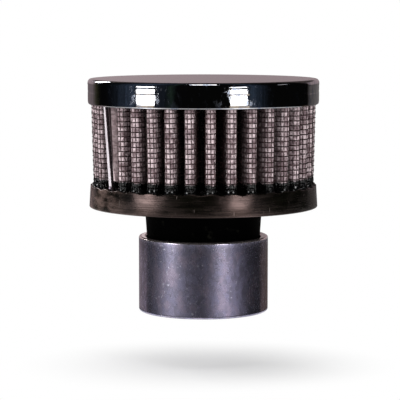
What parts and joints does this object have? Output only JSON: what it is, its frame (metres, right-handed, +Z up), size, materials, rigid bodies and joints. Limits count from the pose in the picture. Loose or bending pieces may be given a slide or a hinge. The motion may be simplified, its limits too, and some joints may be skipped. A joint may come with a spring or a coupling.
{
  "type": "crankcase breather filter",
  "caption": "Round crankcase breather filter with pleated wire-gauze media between a chromed end cap and a black rubber base whose neck plugs into a plain metal sleeve.",
  "frame": {"origin": "centre of the sleeve's lower end face, on the filter's axis", "axes": "+Z up the filter's axis from the sleeve towards the end cap; -Y is the side that the picture shows from the front, +X is to its right"},
  "size_m": [0.076, 0.076, 0.0765],
  "materials": {
    "sleeve_aluminium": "satin, turned",
    "base_rubber": "semi-gloss moulded",
    "screen_wire": "dark coated woven wire",
    "gauze": "layered cotton gauze",
    "strip_metal": "smooth",
    "seal_urethane": "cast, matte",
    "cap_chrome": "polished chrome plate"
  },
  "bodies": {
    "root": {"sleeve": "sleeve_aluminium", "rubber_base": "base_rubber", "outer_screen": "screen_wire", "filter_gauze": "gauze", "inner_screen": "screen_wire", "seam_strip": "strip_metal", "top_seal": "seal_urethane", "end_cap": "cap_chrome"}
  },
  "joints": []
}
